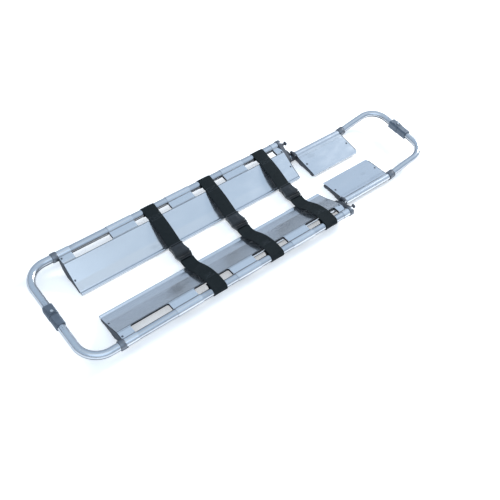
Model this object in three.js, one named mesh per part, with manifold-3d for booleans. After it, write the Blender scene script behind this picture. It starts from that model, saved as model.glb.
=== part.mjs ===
/**
 * Folding scoop stretcher: two long aluminium halves that part along the middle, with a foot
 * section that slides in for a short patient and folds up over the blades for storage.
 *
 * Millimetres, +X towards the foot end, +Y towards the patient's left, +Z up. The ground is z = 0
 * and the origin is the middle of the footprint. Stations run along X from the middle of the head
 * loop's tube. Every paired piece is drawn for the left half and mirrored for the right one.
 */
import * as THREE from 'three';
import { mergeVertices } from 'three/addons/utils/BufferGeometryUtils.js';
import Module from 'manifold-3d';

const wasm = await Module();
wasm.setup();

// Main frame.
const RAIL_Y = 205;
const RAIL_Z = 50;
const RAIL_RADIUS = 14;
const TUBE_WALL = 2;
const HEAD_CORNER = 78;
const BLADE_START = 126;
const BLADE_END = 1083.5;
const RAIL_END = 1097.5;

// Foot frame.
const FOOT_Y = 144;
const FOOT_Z = 20.5;
const FOOT_RADIUS = 12.5;
const FOOT_LOOP_Z = 56;
const FOOT_CORNER = 70;
const HINGE_X = 1121;
const HINGE_Z = 38;
const FOOT_BLADE_START = 1134;
const FOOT_BLADE_END = 1366;
const LEG_BEND_X = 1369;
const FOOT_LOOP_X = 1567;

// Slide, slots, straps and couplings.
const SLIDE_INNER_END = 611;
const LOCK_STATION = 1105;
const LOCK_PITCH = 100;
const LOCK_HOLES = 5;
const SLOT_STARTS = [173, 418, 663, 908];
const SLOT_LENGTH = 146;
const SLOT_INNER_Y = 161;
const STRAP_STATIONS = [488, 735, 989];
const STRAP_WIDTH = 54;
const STRAP_THICKNESS = 1.8;
const COUPLING_HALF = 43;
const COUPLING_SIZE = 34;

// Fits and thicknesses.
const FIT = 0.3;
const SKIN = 3;
const WRAP_WALL = 1;
const RIB_WALL = 3;
const FLANGE_WALL = 3;
const FLANGE_REACH = 22;

const HEAD_X = -(FOOT_LOOP_X + COUPLING_SIZE) / 2 + COUPLING_SIZE / 2;
const LOCK_ANGLE = Math.PI / 3;
const LOCK_LIFT = THREE.MathUtils.degToRad(8);

// The blades' top surfaces, from the rail down to the inner edge, as [y, z].
const MAIN_SURFACE = [[190.2, 56], [160, 54], [94, 20.5], [62, 8.8]];
const FOOT_SURFACE = [[131.8, 28], [112, 24.5], [40, 17], [28, 13.6]];

const FINISH = {
  tube: { color: 0xd5dbe0, roughness: 0.28, metalness: 0.9 },
  blade: { color: 0xb6c3d1, roughness: 0.38, metalness: 0.75 },
  casting: { color: 0x6f7880, roughness: 0.55, metalness: 0.6 },
  steel: { color: 0xa9aeb3, roughness: 0.3, metalness: 1 },
  nylon: { color: 0x1d2022, roughness: 0.6, metalness: 0 },
  webbing: { color: 0x2a3236, roughness: 0.85, metalness: 0 },
};

// ---- Geometry helpers ----

/** A closed solid from a three.js geometry. */
function solid(geometry) {
  const bare = geometry.clone();
  bare.deleteAttribute('normal');
  bare.deleteAttribute('uv');
  const merged = mergeVertices(bare);
  return new wasm.Manifold(new wasm.Mesh({
    numProp: 3,
    vertProperties: new Float32Array(merged.attributes.position.array),
    triVerts: new Uint32Array(merged.index.array),
  }));
}

/** A three.js geometry from a closed solid. */
function geometryOf(body) {
  const mesh = body.getMesh();
  const geometry = new THREE.BufferGeometry();
  geometry.setAttribute('position', new THREE.BufferAttribute(mesh.vertProperties, 3));
  geometry.setIndex(new THREE.BufferAttribute(mesh.triVerts, 1));
  geometry.computeVertexNormals();
  return geometry;
}

function join(first, ...others) {
  return others.reduce((whole, other) => whole.add(other), first);
}

function cut(body, ...tools) {
  return tools.reduce((left, tool) => left.subtract(tool), body);
}

/** Points on an arc, from one angle to another in degrees, both ends included. */
function arc(centreA, centreB, radius, fromDegrees, toDegrees, steps) {
  return Array.from({ length: steps + 1 }, (_, step) => {
    const angle = THREE.MathUtils.degToRad(fromDegrees + (toDegrees - fromDegrees) * step / steps);
    return [centreA + radius * Math.cos(angle), centreB + radius * Math.sin(angle)];
  });
}

function circle(centreA, centreB, radius, sides) {
  return arc(centreA, centreB, radius, 0, 360 - 360 / sides, sides - 1);
}

function shapeOf(outline, holes = []) {
  const shape = new THREE.Shape(outline.map(([a, b]) => new THREE.Vector2(a, b)));
  for (const hole of holes) {
    shape.holes.push(new THREE.Path(hole.map(([a, b]) => new THREE.Vector2(a, b))));
  }
  return shape;
}

function extruded(outline, holes, depth, basis, offset) {
  const geometry = new THREE.ExtrudeGeometry(shapeOf(outline, holes), { depth, bevelEnabled: false });
  geometry.applyMatrix4(new THREE.Matrix4().makeBasis(...basis.map((axis) => new THREE.Vector3(...axis))));
  return solid(geometry.translate(...offset));
}

/** An outline of [y, z] points, extruded along X. */
function alongX(outline, from, to, holes = []) {
  return extruded(outline, holes, to - from, [[0, 1, 0], [0, 0, 1], [1, 0, 0]], [from, 0, 0]);
}

/** An outline of [x, z] points, extruded along Y. */
function alongY(outline, from, to, holes = []) {
  return extruded(outline, holes, to - from, [[1, 0, 0], [0, 0, 1], [0, -1, 0]], [0, to, 0]);
}

/** An outline of [x, y] points, extruded along Z. */
function alongZ(outline, from, to, holes = []) {
  return extruded(outline, holes, to - from, [[1, 0, 0], [0, 1, 0], [0, 0, 1]], [0, 0, from]);
}

function boxOf(xs, ys, zs) {
  const size = [xs, ys, zs].map(([low, high]) => high - low);
  const middle = [xs, ys, zs].map(([low, high]) => (low + high) / 2);
  return solid(new THREE.BoxGeometry(...size).translate(...middle));
}

/** A rectangle of half sizes a and b with its corners cut off at 45 degrees. */
function chamfered(a, b, chamfer, centreA = 0, centreB = 0) {
  return [
    [a, -b + chamfer], [a, b - chamfer], [a - chamfer, b], [-a + chamfer, b],
    [-a, b - chamfer], [-a, -b + chamfer], [-a + chamfer, -b], [a - chamfer, -b],
  ].map(([p, q]) => [p + centreA, q + centreB]);
}

/** The convex outline round a set of points. */
function hullOf(points) {
  const sorted = [...points].sort((p, q) => p[0] - q[0] || p[1] - q[1]);
  const turn = (o, p, q) => (p[0] - o[0]) * (q[1] - o[1]) - (p[1] - o[1]) * (q[0] - o[0]);
  const half = (list) => {
    const chain = [];
    for (const point of list) {
      while (chain.length > 1 && turn(chain.at(-2), chain.at(-1), point) <= 0.001) chain.pop();
      chain.push(point);
    }
    return chain.slice(0, -1);
  };
  return [...half(sorted), ...half(sorted.reverse())];
}

/** Points moved down by a height, in the order they were given. */
function lowered(points, drop) {
  return points.map(([y, z]) => [y, z - drop]);
}

/** The outline of a band of even thickness that follows a line of points. */
function ribbon(points, thickness) {
  const sides = [[], []];
  points.forEach((point, at) => {
    const before = points[Math.max(at - 1, 0)];
    const after = points[Math.min(at + 1, points.length - 1)];
    const along = new THREE.Vector2(after[0] - before[0], after[1] - before[1]).normalize();
    sides[0].push([point[0] - along.y * thickness / 2, point[1] + along.x * thickness / 2]);
    sides[1].unshift([point[0] + along.y * thickness / 2, point[1] - along.x * thickness / 2]);
  });
  return [...sides[0], ...sides[1]];
}

/** A tube's route with its own stations, so that straight runs take one step and bends several. */
class Route extends THREE.Curve {
  constructor(points, tangents) {
    super();
    this.points = points;
    this.tangents = tangents;
  }

  getPointAt(u) {
    return this.points[Math.round(u * (this.points.length - 1))].clone();
  }

  getTangentAt(u) {
    return this.tangents[Math.round(u * (this.tangents.length - 1))].clone().normalize();
  }
}

/** A section swept along a list of [point, tangent] pairs. */
function sweptAlong(stations, section) {
  const points = stations.map(([point]) => new THREE.Vector3(...point));
  const tangents = stations.map(([, tangent]) => new THREE.Vector3(...tangent));
  return new THREE.ExtrudeGeometry(section, {
    steps: points.length - 1,
    extrudePath: new Route(points, tangents),
  });
}

function rodAlong(stations, radius, sides) {
  return sweptAlong(stations, shapeOf(circle(0, 0, radius, sides)));
}

function tubeAlong(stations, radius, sides = 14) {
  const bore = circle(0, 0, radius - TUBE_WALL, sides - 2);
  return sweptAlong(stations, shapeOf(circle(0, 0, radius, sides), [bore]));
}

/** The bend of a loop, a quarter turn from along the rail to across the stretcher. */
function quarterTurn(centreX, centreY, z, radius, direction, steps) {
  return Array.from({ length: steps + 1 }, (_, step) => {
    const angle = Math.PI / 2 * step / steps;
    const sine = Math.sin(angle);
    const cosine = Math.cos(angle);
    return [
      [centreX + direction * radius * sine, centreY + radius * cosine, z],
      [direction * cosine, -sine, 0],
    ];
  });
}

/** A copy of a geometry on the other side of the middle plane. */
function mirrored(geometry) {
  const copy = geometry.clone().scale(1, -1, 1);
  const corners = copy.index.array;
  for (let at = 0; at < corners.length; at += 3) {
    [corners[at + 1], corners[at + 2]] = [corners[at + 2], corners[at + 1]];
  }
  copy.computeVertexNormals();
  return copy;
}

function meshOf(name, shape, finish) {
  const geometry = shape.isBufferGeometry ? shape : geometryOf(shape);
  const mesh = new THREE.Mesh(geometry, new THREE.MeshStandardMaterial(FINISH[finish]));
  mesh.name = name;
  return mesh;
}

/** A piece and its mirror image, as two meshes. */
function pairOf(name, shape, finish) {
  const geometry = shape.isBufferGeometry ? shape : geometryOf(shape);
  const whole = geometry.index ? geometry : mergeVertices(geometry);
  return [
    meshOf(`left_${name}`, whole, finish),
    meshOf(`right_${name}`, mirrored(whole), finish),
  ];
}

// ---- Tubes ----

function mainRail() {
  return tubeAlong([
    [[RAIL_END, RAIL_Y, RAIL_Z], [-1, 0, 0]],
    ...quarterTurn(HEAD_CORNER, RAIL_Y - HEAD_CORNER, RAIL_Z, HEAD_CORNER, -1, 8),
    [[0, COUPLING_HALF / 2 + FIT * 2, RAIL_Z], [0, -1, 0]],
  ], RAIL_RADIUS);
}

/** The height of the foot tube's middle: level under the blade, then rising to the loop's bar. */
function legHeight(x) {
  const part = THREE.MathUtils.clamp((x - LEG_BEND_X) / (FOOT_LOOP_X - LEG_BEND_X), 0, 1);
  return FOOT_Z + (FOOT_LOOP_Z - FOOT_Z) * (1 - (1 - part) ** 1.5);
}

function legSlope(x) {
  return (legHeight(x + 2) - legHeight(x - 2)) / 4;
}

/** The foot tube's straight run and its rising leg, as stations along it. */
function legRoute(...stations) {
  return stations.map((x) => [[x, FOOT_Y, legHeight(x)], [1, 0, legSlope(x)]]);
}

function footRail() {
  const cornerX = FOOT_LOOP_X - FOOT_CORNER;
  const corner = quarterTurn(cornerX, FOOT_Y - FOOT_CORNER, 0, FOOT_CORNER, 1, 6)
    .map(([[x, y], [dx, dy]]) => [[x, y, legHeight(x)], [dx, dy, legSlope(x) * dx]]);
  return tubeAlong([
    ...legRoute(FOOT_BLADE_START + FIT, LEG_BEND_X - 4, LEG_BEND_X, LEG_BEND_X + 4, 1405, 1440, 1470),
    ...corner,
    [[FOOT_LOOP_X, COUPLING_HALF / 2 + FIT * 2, FOOT_LOOP_Z], [0, -1, 0]],
  ], FOOT_RADIUS);
}

function lockHole(station, radius) {
  const drill = new THREE.CylinderGeometry(radius, radius, FOOT_RADIUS * 1.4, 10)
    .translate(0, FOOT_RADIUS, 0)
    .rotateX(LOCK_ANGLE)
    .translate(station, FOOT_Y, FOOT_Z);
  return solid(drill);
}

function slideTube() {
  const body = alongX(circle(FOOT_Y, FOOT_Z, FOOT_RADIUS, 16), SLIDE_INNER_END + FIT, HINGE_X - 12.3,
    [circle(FOOT_Y, FOOT_Z, FOOT_RADIUS - TUBE_WALL, 12)]);
  const holes = Array.from({ length: LOCK_HOLES }, (_, n) => lockHole(LOCK_STATION - n * LOCK_PITCH, 3.6));
  return cut(body, ...holes);
}

// ---- Blades ----

/** A blade's rounded edge that wraps over its rail, from outside to inside, then back underneath. */
function mainBlade() {
  const wrapOut = arc(RAIL_Y, RAIL_Z, RAIL_RADIUS + FIT + WRAP_WALL, -20, 158, 8);
  const wrapIn = arc(RAIL_Y, RAIL_Z, RAIL_RADIUS + FIT, 199, -20, 12);
  const bead = [[60.5, 10.2], [55, 9.6], [50.6, 7.8], [48.9, 4.6], [50, 2.2], [56, 3.2]];
  const under = [[62, 8.8 - SKIN], [94, 20.5 - SKIN], [155.5, 48.2], [156.5, 43], [189.5, 43]];
  const cell = [[187.6, 53.8], [162, 52], [158.7, 50.2], [158.7, 45], [188.2, 45]];
  const outline = [...wrapOut, ...MAIN_SURFACE.slice(1), ...bead, ...under, ...wrapIn];
  const panel = alongX(outline, BLADE_START, BLADE_END, [cell]);
  const corner = 6;
  const slots = SLOT_STARTS.map((start) => alongZ([
    ...arc(start + corner, SLOT_INNER_Y + corner, corner, 180, 270, 2),
    ...arc(start + SLOT_LENGTH - corner, SLOT_INNER_Y + corner, corner, 270, 360, 2),
    [start + SLOT_LENGTH, RAIL_Y + RAIL_RADIUS * 2],
    [start, RAIL_Y + RAIL_RADIUS * 2],
  ], 20, 90));
  return cut(panel, ...slots);
}

function footBlade() {
  const wrapOut = arc(FOOT_Y, FOOT_Z, FOOT_RADIUS + FIT + WRAP_WALL, -20, 148, 8);
  const wrapIn = arc(FOOT_Y, FOOT_Z, FOOT_RADIUS + FIT, 161, -20, 10);
  const edge = [[24.6, 12.2], [22.8, 9.6], [24, 7.4], [28, 13.6 - SKIN]];
  const under = [[40, 17 - SKIN], [112, 24.5 - SKIN], [129, 24.4]];
  const panel = alongX([...wrapOut, ...FOOT_SURFACE.slice(1), ...edge, ...under, ...wrapIn],
    FOOT_BLADE_START + FIT, FOOT_BLADE_END);
  const corner = 10;
  const inner = 22.8;
  const offcut = alongZ([
    [FOOT_BLADE_END + 1, inner + corner],
    ...arc(FOOT_BLADE_END - corner, inner + corner, corner, 0, -90, 4),
    [FOOT_BLADE_END - corner, inner - 1],
    [FOOT_BLADE_END + 1, inner - 1],
  ].reverse(), 0, 30);
  return cut(panel, offcut);
}

// ---- Castings under the blades' ends ----

/** A thin flange that a blade is riveted to, under its surface between two of its points. */
function flange(surface, from, to, drop) {
  const top = lowered(surface, drop + FIT);
  return alongX([...top, ...lowered(top, FLANGE_WALL).reverse()], from, to);
}

const MAIN_FLANGE = [[120, 33.7], [94, 20.5], [68, 11]];
const FOOT_FLANGE = [[120, 25.9], [112, 24.5], [40, 17]];
const MAIN_RIB = [
  [188, 55.2], [160, 53.4], [94, 19.9], [62, 8.1], [57, 6.4], [57, 3], [150, 3], [172, 14], [190, 34],
];
const MAIN_RIB_UNDER = [
  [189, 42.7], [156.2, 42.7], [155.2, 47.7], [94, 17.2], [63, 5.8], [63, 3], [150, 3], [172, 14], [189, 34],
];
const FOOT_RIB = [[132, 27], [112, 23.9], [40, 16.4], [34, 14.6], [34, 3], [131.5, 3], [136, 6]];
const FOOT_RIB_UNDER = [[129.5, 24], [112, 21.2], [40, 13.7], [31, 11.1], [31, 3], [138, 3], [138, 8]];
const MAIN_PADS = [[66, 80], [128, 148]];
const FOOT_PADS = [[34, 46], [95, 115]];
const PAD_HEIGHT = 3.5;

/** The pads that a casting stands on. */
function padsOf(spans, from, to) {
  return spans.map((span) => boxOf([from, to], span, [0, PAD_HEIGHT]));
}

/** The space over a main blade's underside and the rail, which the head casting keeps clear of. */
const BLADE_SPACE = [
  [205, 50], [241.5, 33.7], [260, 90], [40, 90], [40, 4.5], [62, 5.5], [94, 17.2], [155.2, 47.7],
  [156.2, 42.7], [190.5, 42.7],
];

function headRib() {
  const ringStart = BLADE_START - 19.7;
  const shell = BLADE_START - FIT;
  const body = join(
    alongX(circle(RAIL_Y, RAIL_Z, RAIL_RADIUS + 3.3, 20), ringStart, BLADE_START + 5),
    alongX(MAIN_RIB_UNDER, BLADE_START - 1.5, BLADE_START + 5),
    alongX([[192, 56], [160, 53.6], [154, 50.5], [154, 40], [192, 40]], BLADE_START - 2.5, shell),
    flange(MAIN_FLANGE, BLADE_START, BLADE_START + FLANGE_REACH, SKIN),
    ...padsOf(MAIN_PADS, BLADE_START - 1.5, BLADE_START + 8.5),
  );
  const relieved = cut(
    body,
    alongX(BLADE_SPACE, shell, BLADE_START + FLANGE_REACH + 1),
    alongX(circle(RAIL_Y, RAIL_Z, RAIL_RADIUS + FIT, 16), ringStart - 1, BLADE_START + 10),
  );
  const plug = [[187.3, 53.5], [162, 51.7], [159, 49.9], [159, 45.3], [187.9, 45.3]];
  return relieved.add(alongX(plug, BLADE_START - 1, BLADE_START + 14));
}

const GUIDE_BORE = 15.1;
const GUIDE_RADIUS = 16.6;
const GUIDE_START = 1011.6;
const PIVOT = [182, 38];

function footBracket() {
  const face = BLADE_END + FIT;
  const front = RAIL_END + 2.5;
  const web = hullOf([
    ...circle(RAIL_Y, RAIL_Z, RAIL_RADIUS + 3.3, 20),
    ...circle(FOOT_Y, FOOT_Z, 19, 20),
  ]);
  const body = join(
    alongX(MAIN_RIB, face, face + RIB_WALL),
    alongX(web, face, front),
    alongX(circle(FOOT_Y, FOOT_Z, GUIDE_RADIUS + 2, 20), face - 18, face + 1),
    flange(MAIN_FLANGE, BLADE_END - FLANGE_REACH, face + 1, SKIN),
    ...padsOf(MAIN_PADS, face - 7, face + RIB_WALL),
  );
  return cut(
    body,
    alongX(circle(RAIL_Y, RAIL_Z, RAIL_RADIUS + FIT, 16), face - 1, RAIL_END + FIT),
    alongX(circle(FOOT_Y, FOOT_Z, GUIDE_BORE, 16), face - 30, front + 1),
    alongX(circle(FOOT_Y, FOOT_Z, GUIDE_RADIUS + FIT, 16), face - 30, face),
    alongX(circle(...PIVOT, 2.8, 8), front - 6, front + 1),
  );
}

function guideTube() {
  return alongX(circle(FOOT_Y, FOOT_Z, GUIDE_RADIUS, 16), GUIDE_START, BLADE_END,
    [circle(FOOT_Y, FOOT_Z, GUIDE_BORE, 16)]);
}

function guideBush() {
  const mouth = RAIL_END + 2.5 + FIT;
  const body = join(
    alongX(circle(FOOT_Y, FOOT_Z, GUIDE_BORE - FIT, 16), mouth - 42, mouth + 2),
    alongX(circle(FOOT_Y, FOOT_Z, GUIDE_BORE + 1.6, 16), mouth, mouth + 2),
  );
  return cut(body, alongX(circle(FOOT_Y, FOOT_Z, FOOT_RADIUS + FIT, 16), mouth - 50, mouth + 5));
}

function slideStop() {
  const end = SLIDE_INNER_END;
  return join(
    alongX(circle(FOOT_Y, FOOT_Z, 16.3, 16), end - 7, end),
    alongX(circle(FOOT_Y, FOOT_Z, FOOT_RADIUS - TUBE_WALL - FIT, 12), end - 1, end + 15),
  );
}

// ---- Fold hinge ----

const KNUCKLE_HALF = FOOT_RADIUS;
const EYE_HALF = 5.1;
const BARREL = 5.5;

/** The hinge's turned parts lie across the stretcher, so they run along Y. */
function barrelY(radius, from, to, sides = 16) {
  return alongY(circle(HINGE_X, HINGE_Z, radius, sides), from, to);
}

function tubeStub(from, to) {
  return alongX(circle(FOOT_Y, FOOT_Z, FOOT_RADIUS - TUBE_WALL - FIT, 12), from, to);
}

function knuckleBlock(from, to) {
  return alongX(chamfered(KNUCKLE_HALF, 13, 3, FOOT_Y, 21), from, to);
}

function hingeFork() {
  const low = FOOT_Y - KNUCKLE_HALF;
  const high = FOOT_Y + KNUCKLE_HALF;
  const gap = EYE_HALF + FIT;
  const body = join(
    tubeStub(HINGE_X - 34, HINGE_X - 11),
    knuckleBlock(HINGE_X - 12, HINGE_X - FIT),
    boxOf([HINGE_X - 8, HINGE_X - FIT], [low + 1, high - 1], [28, HINGE_Z]),
    barrelY(BARREL, low + 1, high - 1),
  );
  return cut(
    body,
    barrelY(BARREL + 0.7, FOOT_Y - gap, FOOT_Y + gap),
    boxOf([HINGE_X - 14, HINGE_X + 7], [FOOT_Y - gap, FOOT_Y + gap], [HINGE_Z - 5, HINGE_Z + 9]),
    barrelY(2.8, low - 2, high + 2, 10),
    lockHole(LOCK_STATION, 3.8),
  );
}

function hingePin() {
  return join(
    barrelY(2.5, FOOT_Y - KNUCKLE_HALF - 0.5, FOOT_Y + KNUCKLE_HALF + 1, 10),
    barrelY(4, FOOT_Y + KNUCKLE_HALF - 0.7, FOOT_Y + KNUCKLE_HALF + 1.6, 10),
    barrelY(4, FOOT_Y - KNUCKLE_HALF - 1.2, FOOT_Y - KNUCKLE_HALF + 0.7, 10),
  );
}

/** The casting at the foot blade's head end, with the hinge's eye on it. */
function footHeadRib() {
  const low = FOOT_Y - KNUCKLE_HALF;
  const high = FOOT_Y + KNUCKLE_HALF;
  const shell = FOOT_BLADE_START - FIT;
  const body = join(
    knuckleBlock(HINGE_X + FIT, FOOT_BLADE_START),
    alongX(FOOT_RIB_UNDER, FOOT_BLADE_START - 1.5, FOOT_BLADE_START + 5),
    flange(FOOT_FLANGE, FOOT_BLADE_START, FOOT_BLADE_START + FLANGE_REACH, SKIN),
    ...padsOf(FOOT_PADS, FOOT_BLADE_START - 1.5, FOOT_BLADE_START + 8.5),
  );
  const relieved = join(
    cut(
      body,
      barrelY(BARREL + 0.7, low - 4, high + 4),
      alongX(circle(FOOT_Y, FOOT_Z, FOOT_RADIUS + FIT, 16), FOOT_BLADE_START, FOOT_BLADE_START + 30),
    ),
    tubeStub(shell - 1, shell + 22),
  );
  const eye = join(
    barrelY(BARREL, FOOT_Y - EYE_HALF, FOOT_Y + EYE_HALF),
    boxOf([HINGE_X + FIT, HINGE_X + 7], [FOOT_Y - EYE_HALF, FOOT_Y + EYE_HALF], [28, HINGE_Z]),
  );
  return cut(relieved.add(eye), barrelY(2.8, low - 4, high + 4, 10));
}

/** The casting at the foot blade's other end, with a sleeve that follows the tube's rising leg. */
function footEndRib() {
  const face = FOOT_BLADE_END + FIT;
  const sleeveEnd = face + 26;
  const leg = (from, to) => legRoute(from, LEG_BEND_X, LEG_BEND_X + 4, to);
  const body = join(
    solid(rodAlong(leg(face, sleeveEnd), FOOT_RADIUS + 3.5, 20)),
    alongX(FOOT_RIB, face, face + RIB_WALL),
    flange(FOOT_FLANGE, FOOT_BLADE_END - FLANGE_REACH, face + 1, SKIN),
    ...padsOf(FOOT_PADS, face - 7, face + RIB_WALL),
  );
  return cut(body, solid(rodAlong(leg(face - 4, sleeveEnd + 5), FOOT_RADIUS + FIT, 16)));
}

// ---- Length lock ----

const LEVER_BACK = 1102.9;
const LEVER_FRONT = 1107.3;

/** A point of the lever, swung up round its pivot from where it engages to where it is held clear. */
function lifted([y, z]) {
  const centre = new THREE.Vector2(...PIVOT);
  return new THREE.Vector2(y, z).rotateAround(centre, -LOCK_LIFT).toArray();
}

/** A lever that pivots on the bracket: its nose drops into a hole in the slide tube. */
function lockLever() {
  const reach = (distance) => lifted([
    FOOT_Y + Math.cos(LOCK_ANGLE) * distance,
    FOOT_Z + Math.sin(LOCK_ANGLE) * distance,
  ]);
  const nose = reach(11.4);
  const root = reach(20.4);
  const bar = (from, to, half) => hullOf([...circle(...from, half, 10), ...circle(...to, half, 10)]);
  const plate = (outline) => alongX(outline, LEVER_BACK, LEVER_FRONT);
  const tab = [196, 50];
  return cut(
    join(
      plate(bar(nose, root, 1.8)),
      plate(bar(root, PIVOT, 4)),
      plate(bar(PIVOT, tab, 6)),
      boxOf([LEVER_BACK, 1120], [192, 200], [47, 53]),
      alongZ(chamfered(4, 7.5, 2, 1122, 196), 45.5, 54.5),
    ),
    alongX(circle(...PIVOT, 2.8, 10), LEVER_BACK - 1, LEVER_FRONT + 1),
  );
}

function lockPivot() {
  return join(
    alongX(circle(...PIVOT, 2.5, 10), RAIL_END - 3, LEVER_FRONT + 1),
    alongX(circle(...PIVOT, 4.5, 10), LEVER_FRONT + FIT, LEVER_FRONT + 2.5),
  );
}

// ---- Couplings in the loops ----

const TONGUE_END = COUPLING_HALF / 2 - 0.5;
const BUTTON_Y = 12;
const BUTTON_TRAVEL = 5;
const TOP = COUPLING_SIZE / 2;

/** The socket half, on the left: a sleeve over the loop's tube, with a raised plate on top. */
function couplingSocket(tubeRadius) {
  const body = join(
    alongY(chamfered(TOP, TOP, 6), FIT, COUPLING_HALF),
    alongZ(chamfered(11, 12, 2, 0, BUTTON_Y + 4), TOP - 1, TOP + 2.4),
  );
  return cut(
    body,
    alongY(circle(0, 0, tubeRadius + FIT, 16), -1, COUPLING_HALF + 1),
    alongZ(circle(0, BUTTON_Y, 5.3, 12), 2, TOP + 4),
  );
}

/** The spigot half, on the right: a tongue that fills the socket's bore. */
function couplingSpigot(tubeRadius) {
  const body = join(
    alongY(chamfered(TOP - 0.8, TOP - 0.8, 6), -COUPLING_HALF, -FIT),
    alongY(circle(0, 0, tubeRadius, 16), -FIT * 2, TONGUE_END),
  );
  return cut(
    body,
    alongY(circle(0, 0, tubeRadius + FIT, 16), -COUPLING_HALF - 1, -COUPLING_HALF / 2),
    alongZ(circle(0, BUTTON_Y, 5.3, 12), 0, TOP + 4),
  );
}

/** The sprung button that pops up through the socket's plate. */
function latchButton() {
  const body = join(
    alongZ(circle(0, BUTTON_Y, 5, 12), 8, TOP + 5.2),
    alongZ(circle(0, BUTTON_Y, 4.2, 12), TOP + 5, TOP + 6),
  );
  return cut(body, alongZ(circle(0, BUTTON_Y, 3.2, 10), 7, TOP));
}

/** A compression spring that stands in the tongue's hole, inside the button. */
function latchSpring() {
  const turns = 3;
  const stepsPerTurn = 6;
  const low = 1;
  const height = 10;
  const radius = 2.1;
  const stations = Array.from({ length: turns * stepsPerTurn + 1 }, (_, step) => {
    const angle = 2 * Math.PI * step / stepsPerTurn;
    const part = step / (turns * stepsPerTurn);
    return [
      [radius * Math.cos(angle), BUTTON_Y + radius * Math.sin(angle), low + height * part],
      [-Math.sin(angle), Math.cos(angle), height / (turns * 2 * Math.PI * radius)],
    ];
  });
  return rodAlong(stations, 0.45, 4);
}

function couplingAt(name, x, z, tubeRadius) {
  const group = new THREE.Group();
  group.position.set(x, 0, z);
  group.add(
    meshOf(`${name}_coupling_socket`, couplingSocket(tubeRadius), 'casting'),
    meshOf(`${name}_coupling_spigot`, couplingSpigot(tubeRadius), 'casting'),
    meshOf(`${name}_latch_button`, latchButton(), 'steel'),
    meshOf(`${name}_latch_spring`, mergeVertices(latchSpring()), 'steel'),
  );
  return group;
}

// ---- Straps and buckles ----

const LOOP_RADIUS = RAIL_RADIUS + FIT + STRAP_THICKNESS / 2 + 0.2;
const BUCKLE_Z = 22;
const BUCKLE_HALF = 30;
const BUCKLE_Y = [-29, 42];

/** Webbing that runs to the rail, round it and back to where it is sewn, as an [y, z] outline. */
function webbing(run, loopStart) {
  const round = arc(RAIL_Y, RAIL_Z, LOOP_RADIUS, loopStart, -168, 12);
  const seam = [[RAIL_Y - 18, RAIL_Z + 6], [RAIL_Y - 22, RAIL_Z + 10.2], [RAIL_Y - 36, run.at(-1)[1] - 1.2]];
  const half = STRAP_WIDTH / 2;
  return join(
    alongX(ribbon([...run, ...round.slice(0, 7)], STRAP_THICKNESS), -half, half),
    alongX(ribbon([...round.slice(5), ...seam], STRAP_THICKNESS), -half, half),
  );
}

function tautWebbing() {
  return webbing([
    [BUCKLE_Y[1] + FIT, BUCKLE_Z + 2], [75, 35.6], [105, 45.5], [138, 53.2], [168, 57.2],
  ], 103);
}

function slackWebbing() {
  return webbing([
    [-BUCKLE_Y[0] + FIT, BUCKLE_Z - 1], [45, 17.5], [62, 19.5], [80, 29.5],
    [112, 48.5], [145, 60.5], [168, 64.8],
  ], 100);
}

/** An outline that is the same on both sides, from [half width, y] points down one side. */
function bothSides(points) {
  return [...points.map(([x, y]) => [-x, y]).reverse(), ...points];
}

/** The socket of a side-release buckle, with a window in each side for the tongue's prongs. */
function buckleSocket() {
  const outline = bothSides([
    [23, BUCKLE_Y[1]], [27, 39], [27, 35.5], [25.5, 33], [26, 17], [28, 5], [BUCKLE_HALF, -3], [28.5, -6],
  ]);
  return cut(
    alongZ(outline, BUCKLE_Z - 8, BUCKLE_Z + 8),
    boxOf([-19.5, 19.5], [-7, 31], [BUCKLE_Z - 4, BUCKLE_Z + 4]),
    boxOf([-BUCKLE_HALF - 1, BUCKLE_HALF + 1], [9, 23], [BUCKLE_Z - 4, BUCKLE_Z + 4]),
  );
}

/** The tongue of a side-release buckle: a ladder of bars for the webbing, and three prongs. */
function buckleTongue() {
  const plate = bothSides([
    [29, -6.6], [BUCKLE_HALF, -10], [BUCKLE_HALF - 1, -15], [26.5, -20], [26, -27], [24, BUCKLE_Y[0]],
  ]);
  const slot = (from, to) => boxOf([-22.5, 22.5], [from, to], [0, 60]);
  return join(
    cut(alongZ(plate, BUCKLE_Z - 6, BUCKLE_Z + 6), slot(-25.5, -21.5), slot(-17, -13)),
    boxOf([-17.5, -13], [-8, 24], [BUCKLE_Z - 3.4, BUCKLE_Z + 3.4]),
    boxOf([13, 17.5], [-8, 24], [BUCKLE_Z - 3.4, BUCKLE_Z + 3.4]),
    boxOf([-3, 3], [-8, 22], [BUCKLE_Z - 2.4, BUCKLE_Z + 2.4]),
  );
}

function strapAt(number, station) {
  const group = new THREE.Group();
  group.position.x = station;
  const [taut] = pairOf('web', tautWebbing(), 'webbing');
  const [, slack] = pairOf('web', slackWebbing(), 'webbing');
  taut.name = `strap_${number}_left_web`;
  slack.name = `strap_${number}_right_web`;
  group.add(
    taut,
    slack,
    meshOf(`strap_${number}_buckle_socket`, buckleSocket(), 'nylon'),
    meshOf(`strap_${number}_buckle_tongue`, buckleTongue(), 'nylon'),
  );
  return group;
}

// ---- Assembly ----

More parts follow.
